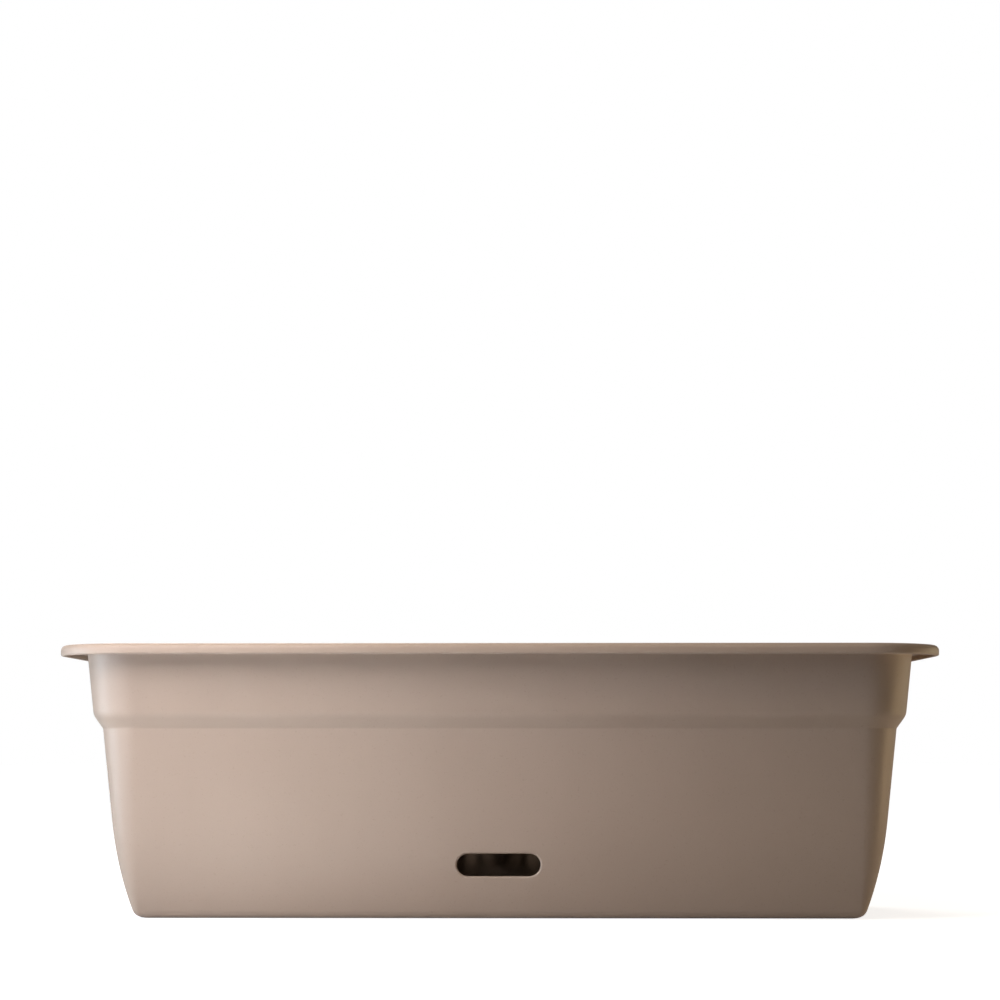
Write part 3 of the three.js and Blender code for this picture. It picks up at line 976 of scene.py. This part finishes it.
# %% What the false floor's tree is given
outline_points = plate_outline(0)
outline_edges = [(i, (i + 1) % len(outline_points)) for i in range(len(outline_points))]
outline = outline_object("outline", [(x, y, 0) for x, y in outline_points], outline_edges)
leg_spots = outline_object("leg_spots", [(x, y, 0) for x in LEG_XS for y in (-LEG_Y, LEG_Y)])
cup_spots = outline_object("cup_spots", [(x, 0, 0) for x in CUP_XS])
for spots, radius in ((leg_spots, LEG_RADIUS), (cup_spots, FLANGE_RADIUS)):
    sizes = spots.data.attributes.new("keep_clear", "FLOAT", "POINT")
    sizes.data.foreach_set("value", [radius] * len(spots.data.vertices))

floor_sizes = {
    "Outline": outline,
    "Leg Spots": leg_spots,
    "Cup Spots": cup_spots,
    "Leg": leg,
    "Collar": collar,
    "Skirt": skirt,
    "Middle X": PLATE_MIDDLE,
    "Columns": 2 * int((PLATE_END - PLATE_MIDDLE - SLOT_TO_END) / SLOT_PITCH_X) + 1,
    "Rows": 2 * int((PLATE_HALF_WIDTH - SLOT_TO_SIDE) / SLOT_PITCH_Y) + 1,
    "Pitch X": SLOT_PITCH_X,
    "Pitch Y": SLOT_PITCH_Y,
    "Slot Length": DRAIN_SLOT_LENGTH,
    "Slot Width": DRAIN_SLOT_WIDTH,
    "Slot Margin": 2 * MM,
    "Cup Hole": CUP_HOLE,
    "Bottom": PLATE_BOTTOM,
    "Thickness": PLATE_TOP - PLATE_BOTTOM,
}
print("grid of slots:", floor_sizes["Columns"], "by", floor_sizes["Rows"])

# %% Place the slots, less the crowded ones


def move(tree, shape, offset):
    """A shape moved by the numbers of an offset."""
    offset = put(tree, "ShaderNodeCombineXYZ", offset).outputs[0]
    inputs = {"Geometry": shape, "Offset": offset}
    return put(tree, "GeometryNodeSetPosition", inputs).outputs["Geometry"]


def slot_points(tree, given):
    """A grid of points over the plate."""
    spans = []
    for count, pitch in (("Columns", "Pitch X"), ("Rows", "Pitch Y")):
        gaps = calc(tree, "SUBTRACT", given[count], 1.0)
        spans.append(calc(tree, "MULTIPLY", gaps, given[pitch]))
    inputs = {"Size X": spans[0], "Size Y": spans[1]}
    inputs.update({"Vertices X": given["Columns"], "Vertices Y": given["Rows"]})
    grid = put(tree, "GeometryNodeMeshGrid", inputs).outputs["Mesh"]
    points = put(tree, "GeometryNodeMeshToPoints", {"Mesh": grid}).outputs[0]
    return move(tree, points, {0: given["Middle X"]})


def drop_crowded(tree, given, points, obstacles):
    """Takes out the points whose slot would come too near an obstacle, one obstacle a turn."""
    start = tree.nodes.new("GeometryNodeRepeatInput")
    end = tree.nodes.new("GeometryNodeRepeatOutput")
    start.pair_with_output(end)
    tree.links.new(point_count(tree, obstacles), start.inputs["Iterations"])
    tree.links.new(points, start.inputs["Geometry"])
    turn = start.outputs["Iteration"]
    position = put(tree, "GeometryNodeInputPosition").outputs[0]
    x, y, _ = split(tree, position)
    spot_x, spot_y, _ = split(tree, sample(tree, obstacles, position, turn))
    radius = sample(tree, obstacles, named(tree, "keep_clear", "FLOAT"), turn, "FLOAT")
    gap_x = calc(tree, "SUBTRACT", x, spot_x)
    gap_y = calc(tree, "ABSOLUTE", calc(tree, "SUBTRACT", y, spot_y))
    gap_y = calc(tree, "SUBTRACT", gap_y, calc(tree, "DIVIDE", given["Slot Length"], 2.0))
    gap_y = calc(tree, "MAXIMUM", gap_y, 0.0)
    squares = [calc(tree, "MULTIPLY", gap, gap) for gap in (gap_x, gap_y)]
    distance = calc(tree, "SQRT", calc(tree, "ADD", *squares))
    room = calc(tree, "DIVIDE", given["Slot Width"], 2.0)
    room = calc(tree, "ADD", calc(tree, "ADD", room, radius), given["Slot Margin"])
    crowded = calc(tree, "LESS_THAN", distance, room)
    inputs = {"Geometry": start.outputs["Geometry"], "Selection": crowded}
    kept = put(tree, "GeometryNodeDeleteGeometry", inputs)
    tree.links.new(kept.outputs["Geometry"], end.inputs["Geometry"])
    return end.outputs["Geometry"]


# %% The false floor, as a node tree


def on_points(tree, points, shape):
    """Copies of a shape on points, as real geometry."""
    copies = put(tree, "GeometryNodeInstanceOnPoints", {"Points": points, "Instance": shape})
    real = put(tree, "GeometryNodeRealizeInstances", {"Geometry": copies.outputs["Instances"]})
    return real.outputs["Geometry"]


def join(tree, *shapes):
    """Several shapes as one."""
    node = put(tree, "GeometryNodeJoinGeometry")
    for shape in shapes:
        tree.links.new(shape, node.inputs["Geometry"])
    return node.outputs["Geometry"]


def floor_recipe(sizes):
    """Fills the outline less its holes, makes it thick, and adds the skirt, legs and collars."""
    tree, given = start_recipe("false_floor", sizes)
    legs = object_shape(tree, given, "Leg Spots")
    cups = object_shape(tree, given, "Cup Spots")
    points = drop_crowded(tree, given, slot_points(tree, given), join(tree, legs, cups))

    inputs = {"Width": given["Slot Width"], "Height": given["Slot Length"]}
    bar = put(tree, "GeometryNodeCurvePrimitiveQuadrilateral", inputs).outputs["Curve"]
    end_radius = calc(tree, "MULTIPLY", given["Slot Width"], 0.499)
    inputs = {"Curve": bar, "Count": 7, "Radius": end_radius, "Limit Radius": True}
    slot = put(tree, "GeometryNodeFilletCurve", inputs, mode="POLY").outputs["Curve"]
    inputs = {"Resolution": 96, "Radius": given["Cup Hole"]}
    circle = put(tree, "GeometryNodeCurvePrimitiveCircle", inputs).outputs["Curve"]
    inputs = {"Mesh": object_shape(tree, given, "Outline")}
    edge = put(tree, "GeometryNodeMeshToCurve", inputs).outputs["Curve"]
    lines = join(tree, edge, on_points(tree, points, slot), on_points(tree, cups, circle))

    face = put(tree, "GeometryNodeFillCurve", {"Curve": lines}, mode="NGONS").outputs["Mesh"]
    up = put(tree, "ShaderNodeCombineXYZ", {2: 1.0}).outputs[0]
    inputs = {"Mesh": face, "Offset": up, "Offset Scale": given["Thickness"], "Individual": False}
    thick = put(tree, "GeometryNodeExtrudeMesh", inputs).outputs["Mesh"]
    under = put(tree, "GeometryNodeFlipFaces", {"Mesh": face}).outputs["Mesh"]
    parts = [
        move(tree, merge(tree, join(tree, thick, under)), {2: given["Bottom"]}),
        object_shape(tree, given, "Skirt"),
        on_points(tree, legs, object_shape(tree, given, "Leg")),
        on_points(tree, cups, object_shape(tree, given, "Collar")),
    ]
    whole = put(tree, "GeometryNodeMeshBoolean", operation="UNION", solver="EXACT")
    for part in parts:
        tree.links.new(part, whole.inputs["Mesh 2"])
    end_recipe(tree, merge(tree, whole.outputs["Mesh"]), given["Material"])
    return tree


# %% [markdown]
# Pieces that stay hidden inside are often moulded in reground plastic. It is nearly black, with
# faint grey flecks and flow marks, and it scuffs to a dull grey along its edges. The same finish
# as the trough's serves, with other values.

# %% Make both false floors
dark = moulded_plastic(
    "reground_plastic",
    deep=(0.020, 0.0195, 0.019),
    pale=(0.034, 0.033, 0.031),
    fleck=(0.16, 0.155, 0.145),
    worn=(0.17, 0.165, 0.155),
    specks=0.5,
    wear=0.55,
    flow=(1.0, 0.3, 1.0),
    grain=0.00004,
    grain_scale=1300.0,
)
MOULD_ROUND = 0.25 * MM


def soften(thing, sharp=35):
    """Rounds every edge that is sharper than an angle."""
    bevel = thing.modifiers.new("soften", "BEVEL")
    bevel.width = MOULD_ROUND
    bevel.segments = 2
    bevel.limit_method = "ANGLE"
    bevel.angle_limit = math.radians(sharp)
    bevel.use_clamp_overlap = False
    bevel.loop_slide = False


def turned_copy(thing, name):
    """A copy of a piece, turned half round the planter's middle, with the turn in its mesh."""
    mesh = thing.data.copy()
    mesh.transform(Matrix.Rotation(math.pi, 4, "Z"))
    return link_mesh(name, mesh)


floor_sizes["Material"] = dark
right_floor = link_mesh("false_floor_right_plate", bpy.data.meshes.new("false_floor_right_plate"))
run_recipe(right_floor, floor_recipe(floor_sizes), floor_sizes)
soften(right_floor)
settle(right_floor)
discard(outline, leg_spots, cup_spots, leg, collar, skirt)
left_floor = turned_copy(right_floor, "false_floor_left_plate")
for side, plate in (("right", right_floor), ("left", left_floor)):
    node = f"false_floor_{side}"
    finish_piece(plate, dark, node, node, flats=True)

# %% [markdown]
# ## The wick cups
# A wick cup is a tapered cup with a flange, and six slots let water through its wall and bottom.
# The cup is turned from its section. One cutter with a round top is repeated about the axis by
# Geometry Nodes, and the copies are cut out together, which keeps the slots evenly spaced.

# %% The cup's section and the cutter
CUP_WALL = 1.6 * MM
CUP_UNDER = PLATE_TOP + PLAY
CUP_TOP = CUP_UNDER + 1.8 * MM
CUP_FOOT = FLOOR_TOP + 1.6 * MM
CUP_RADIUS = 22.5 * MM
CUP_TAPER = math.radians(9)
CUP_FOOT_RADIUS = CUP_RADIUS - (CUP_UNDER - CUP_FOOT) * math.tan(CUP_TAPER)
CUP_SECTION = [
    (0, CUP_FOOT, 0),
    (CUP_FOOT_RADIUS, CUP_FOOT, 1.4 * MM),
    (CUP_RADIUS, CUP_UNDER, 0.5 * MM),
    (FLANGE_RADIUS, CUP_UNDER, 0.5 * MM),
    (FLANGE_RADIUS, CUP_TOP, 0.7 * MM),
    (CUP_RADIUS - CUP_WALL, CUP_TOP, 1.2 * MM),
    (CUP_FOOT_RADIUS - CUP_WALL, CUP_FOOT + CUP_WALL, 1.2 * MM),
    (0, CUP_FOOT + CUP_WALL, 0),
]
SLOT_HALF = 2.25 * MM
CUTTER_TOP = CUP_FOOT + 22 * MM
CUTTER_START = 9.5 * MM


def cutter_outline():
    """The cutter seen along a radius: an upright bar with a round top."""
    top = arc(0, CUTTER_TOP - SLOT_HALF, SLOT_HALF, 0, math.pi, 10)
    foot = CUP_FOOT - CUP_WALL
    return [(SLOT_HALF, foot), *top, (-SLOT_HALF, foot)]


cutter = ring_mesh(
    "cutter",
    [[(reach, y, z) for y, z in cutter_outline()] for reach in (CUTTER_START, FLANGE_RADIUS)],
)
cup_body = spin("cup_body", CUP_SECTION, steps=96, finest=math.radians(22))
print("the cup's foot is", round(2 * CUP_FOOT_RADIUS / MM, 1), "mm across")

# %% Cut the slots with a node tree
cup_sizes = {"Cup": cup_body, "Cutter": cutter, "Slots": 6, "Material": dark}


def cup_recipe(sizes):
    """Repeats a cutter about the Z axis, and cuts the copies out of the cup."""
    tree, given = start_recipe("wick_cup", sizes)
    inputs = {"Count": given["Slots"], "Offset": (0.0, 0.0, 0.0)}
    points = put(tree, "GeometryNodeMeshLine", inputs).outputs["Mesh"]
    index = put(tree, "GeometryNodeInputIndex").outputs[0]
    share = calc(tree, "DIVIDE", calc(tree, "ADD", index, 0.5), given["Slots"])
    angle = calc(tree, "MULTIPLY", share, 2 * math.pi)
    turn = put(tree, "ShaderNodeCombineXYZ", {2: angle}).outputs[0]
    inputs = {"Points": points, "Instance": object_shape(tree, given, "Cutter"), "Rotation": turn}
    copies = put(tree, "GeometryNodeInstanceOnPoints", inputs).outputs["Instances"]
    cut = put(tree, "GeometryNodeMeshBoolean", operation="DIFFERENCE")
    tree.links.new(object_shape(tree, given, "Cup"), cut.inputs["Mesh 1"])
    tree.links.new(copies, cut.inputs["Mesh 2"])
    end_recipe(tree, cut.outputs["Mesh"], given["Material"])
    return tree


cup = link_mesh("cup", bpy.data.meshes.new("cup"))
run_recipe(cup, cup_recipe(cup_sizes), cup_sizes)
soften(cup, sharp=40)
settle(cup)
discard(cup_body, cutter)
print("faces in a cup:", len(cup.data.polygons))

# %% Hang the four cups in the false floors
for side, turn in (("right", 0), ("left", math.pi)):
    for spot, x in (("inner", CUP_XS[0]), ("outer", CUP_XS[1])):
        mesh = cup.data.copy()
        mesh.transform(Matrix.Rotation(turn, 4, "Z") @ Matrix.Translation((x, 0, 0)))
        node = f"wick_cup_{side}_{spot}"
        hung = link_mesh(f"{node}_basket", mesh)
        finish_piece(hung, dark, node, node, flats=True)
discard(cup)

# %% [markdown]
# ## The drain plug and its seal
# The plug is pushed in by its head and pulled out by a thin bar across it, which has ridges for
# wet fingers. The head and shank are turned. The bar is built from outlines that shrink towards
# the top, and the ridges are a wave in those outlines. The seal is a rubber washer: rubber is
# moulded in two halves, so a fine line runs round its edge.

# %% Turn the plug and shape its bar
SEAL_FACE = SEAT_FACE + PLAY
SEAL_THICKNESS = 1.4 * MM
HEAD_FACE = SEAL_FACE + SEAL_THICKNESS + PLAY
HEAD_TOP = HEAD_FACE + 2 * MM
BAR_TOP = HEAD_TOP + 5 * MM
NOSE = SEAT_BACK - 1.5 * MM
ALONG_X = Matrix.Translation((0, 0, DRAIN_LEVEL)) @ Matrix.Rotation(math.pi / 2, 4, "Y")

plug = spin(
    "drain_plug_body",
    [
        (0, NOSE, 0),
        (SHANK - 0.75 * MM, NOSE, 0.4 * MM),
        (SHANK, NOSE + 1.5 * MM, 0.6 * MM),
        (SHANK, HEAD_FACE, 0.2 * MM),
        (HEAD_RADIUS, HEAD_FACE, 0.4 * MM),
        (HEAD_RADIUS, HEAD_TOP, 0.7 * MM),
        (0, HEAD_TOP, 0),
    ],
    steps=72,
    finest=math.radians(15),
)
BAR_RUN = 4.9 * MM
BAR_HALF = 1.8 * MM
BAR_STEPS = 60
RIDGES = 5
RIDGE_DEPTH = 0.22 * MM


def bar_loop(inset, level):
    """An outline of the bar, with a wave along its two long sides."""
    half = BAR_HALF - inset
    waves = []
    for i in range(BAR_STEPS + 1):
        along = -BAR_RUN + 2 * BAR_RUN * i / BAR_STEPS
        dip = RIDGE_DEPTH * (0.5 - 0.5 * math.cos(2 * math.pi * RIDGES * i / BAR_STEPS))
        waves.append((along, half - dip))
    ends = arc(BAR_RUN, 0, half, -math.pi / 2, math.pi / 2, 14)[1:-1]
    loop = [(x, -y) for x, y in waves] + ends
    loop += [(-x, y) for x, y in waves]
    loop += [(-x, -y) for x, y in ends]
    return [(x, y, level) for x, y in loop]


bar_levels = [(0, HEAD_TOP - 0.5 * MM), (0, HEAD_TOP + 0.3 * MM), (0, BAR_TOP - 0.8 * MM)]
bar_levels += [
    (0.8 * MM * (1 - math.cos(turn)), BAR_TOP - 0.8 * MM * (1 - math.sin(turn)))
    for turn in even_steps(math.pi / 12, math.pi / 2, 5)
]
bar = ring_mesh("bar", [bar_loop(inset, level) for inset, level in bar_levels])
print("loops in the bar:", len(bar_levels))

# %% Join head and bar, and make the seal
knit = plug.modifiers.new("bar", "BOOLEAN")
knit.operation = "UNION"
knit.object = bar
settle(plug)
discard(bar)
plug.data.transform(ALONG_X)

SEAL_MIDDLE = SEAL_FACE + SEAL_THICKNESS / 2
SEAL_BACK = SEAL_FACE + SEAL_THICKNESS
SEAM = 0.08 * MM
seal = spin(
    "drain_seal_ring",
    [
        (BORE, SEAL_FACE, 0.35 * MM),
        (SEAL_RADIUS - SEAM, SEAL_FACE, 0.45 * MM),
        (SEAL_RADIUS - SEAM, SEAL_MIDDLE - SEAM, 0),
        (SEAL_RADIUS, SEAL_MIDDLE, 0),
        (SEAL_RADIUS - SEAM, SEAL_MIDDLE + SEAM, 0),
        (SEAL_RADIUS - SEAM, SEAL_BACK, 0.45 * MM),
        (BORE, SEAL_BACK, 0.35 * MM),
    ],
    steps=96,
)
seal.data.transform(ALONG_X)
rubber = moulded_plastic(
    "seal_rubber",
    deep=(0.012, 0.012, 0.0125),
    pale=(0.022, 0.022, 0.022),
    fleck=(0.07, 0.07, 0.068),
    worn=(0.09, 0.09, 0.087),
    wear=0.35,
    satin=0.74,
    swell=0.00005,
    grain_scale=2400.0,
    shine=0.35,
)
waxy = moulded_plastic(
    "plug_plastic",
    deep=(0.375, 0.290, 0.230),
    pale=(0.410, 0.320, 0.255),
    fleck=(0.31, 0.235, 0.185),
    worn=(0.50, 0.42, 0.35),
    specks=0.25,
    flow=(3.0, 3.0, 3.0),
    satin=0.34,
    swell=0.0001,
    grain=0.00002,
    grain_scale=1800.0,
)
finish_piece(plug, waxy, "drain_plug", "drain_plug")
finish_piece(seal, rubber, "drain_plug", "drain_seal")

# %% [markdown]
# ## The studio
# The light comes from the left. Soft lamps stand off the left-hand end and round the front left
# corner, and two more above the front, so the long wall fades evenly from light to dark and the
# rim shades the band under it. One lamp shines only on the floor in front, whose glow fills the
# foot of the wall. Two warm lamps off the right-hand end draw the bright line down the far
# corner, and a large one behind lights the back. The surroundings look white to the camera, but
# little of that white is mirrored in the plastic, as in a studio whose backdrop stands well away.

# %% Lamps


def lamp(name, place, target, size, power, colour, beam=180):
    """A soft square lamp that points at a target, with the width of its beam in degrees."""
    data = bpy.data.lights.new(name, "AREA")
    data.shape = "SQUARE"
    data.size = size
    data.energy = power
    data.color = colour
    data.spread = math.radians(beam)
    thing = bpy.data.objects.new(name, data)
    thing.location = place
    thing.rotation_euler = (Vector(target) - Vector(place)).to_track_quat("-Z", "Y").to_euler()
    thing.visible_camera = False
    scene.collection.objects.link(thing)


lamp("low", (-0.47, -0.39, 0.09), (0, 0, 0.08), 0.18, 0.5, (0.78, 0.84, 1.0))
lamp("left", (-0.6, -0.1, 0.1), (-0.2, 0, 0.08), 0.2, 1.15, (0.7, 0.86, 1.0))
lamp("near", (-0.28, -0.32, 0.32), (-0.1, 0, 0.08), 0.2, 1.13, (1.0, 0.97, 1.0))
lamp("above", (-0.16, -0.22, 0.48), (-0.06, 0, 0.08), 0.2, 0.6, (1.0, 0.88, 0.76))
lamp("above_right", (0.15, -0.25, 0.5), (0.12, 0, 0.08), 0.2, 0.35, (1.0, 0.84, 0.68))
lamp("pool", (-0.15, -0.24, 0.3), (-0.15, -0.24, 0), 0.1, 0.31, (0.86, 0.94, 1.0), beam=60)
lamp("right", (0.55, -0.05, 0.06), (0.22, 0, 0.06), 0.1, 0.25, (1.0, 0.74, 0.42))
lamp("corner", (0.80, 0.27, 0.20), (0.245, 0, 0.08), 0.2, 0.45, (1.0, 0.88, 0.57))
lamp("behind", (-0.3, 0.9, 0.9), (0, 0, 0.08), 0.6, 6.0, (1.0, 0.98, 0.96))
print("lamps:", ", ".join(light.name for light in bpy.data.lights))

# %% Floor and surroundings
AMBIENT = 0.01
MIRRORED = 0.2
FLOOR_GLOW = 0.8
GLOW_START = 0.3
GLOW_END = 0.75
PAPER = (0.7, 0.7, 0.7, 1)


def seen_share(tree):
    """1 for rays from the camera, also through glass, less for reflections, 0 for soft light."""
    path = put(tree, "ShaderNodeLightPath").outputs
    mirrored = calc(tree, "MULTIPLY", path["Is Glossy Ray"], MIRRORED)
    direct = calc(tree, "MAXIMUM", path["Is Camera Ray"], path["Is Transmission Ray"])
    return calc(tree, "MAXIMUM", direct, mirrored)


world = bpy.data.worlds.new("studio")
scene.world = world
world.use_nodes = True
tree = world.node_tree
strength = calc(tree, "MAXIMUM", seen_share(tree), AMBIENT)
tree.links.new(strength, tree.nodes["Background"].inputs["Strength"])
tree.nodes["Background"].inputs["Color"].default_value = (1, 1, 1, 1)

floor_material = bpy.data.materials.new("studio_floor")
floor_material.use_nodes = True
tree = floor_material.node_tree
tree.nodes.clear()
place = put(tree, "ShaderNodeTexCoord").outputs["Object"]
distance = put(tree, "ShaderNodeVectorMath", {0: place}, operation="LENGTH").outputs["Value"]
glow = ramp(tree, distance, GLOW_START, GLOW_END, FLOOR_GLOW, 1.0)
glow = calc(tree, "MULTIPLY", glow, seen_share(tree))
paper = put(tree, "ShaderNodeBsdfDiffuse", {"Color": PAPER}).outputs[0]
shine = put(tree, "ShaderNodeEmission", {"Strength": glow}).outputs[0]
both = put(tree, "ShaderNodeAddShader", {0: paper, 1: shine}).outputs[0]
put(tree, "ShaderNodeOutputMaterial", {"Surface": both})

FLOOR_REACH = 8.0
FLOOR_LEVEL = -0.0002
floor_corners = [(-1, -1), (1, -1), (1, 1), (-1, 1)]
floor = outline_object(
    "studio_floor",
    [(x * FLOOR_REACH, y * FLOOR_REACH, FLOOR_LEVEL) for x, y in floor_corners],
    faces=[(0, 1, 2, 3)],
)
floor.data.materials.append(floor_material)
floor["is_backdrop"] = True
print("ambient level", AMBIENT, "and floor reach", FLOOR_REACH, "m")

# %% [markdown]
# ## The last step
# The box round the imported model and the box round the finished pieces are printed side by side.

# %% Print the two boxes
low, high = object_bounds()
boxes = {
    "cad": [list(cad_low), list(cad_high)],
    "visual": [list(low), list(high)],
}
for label, (least, most) in boxes.items():
    print(label, "box in mm:", [round(v / MM, 2) for v in least], [round(v / MM, 2) for v in most])
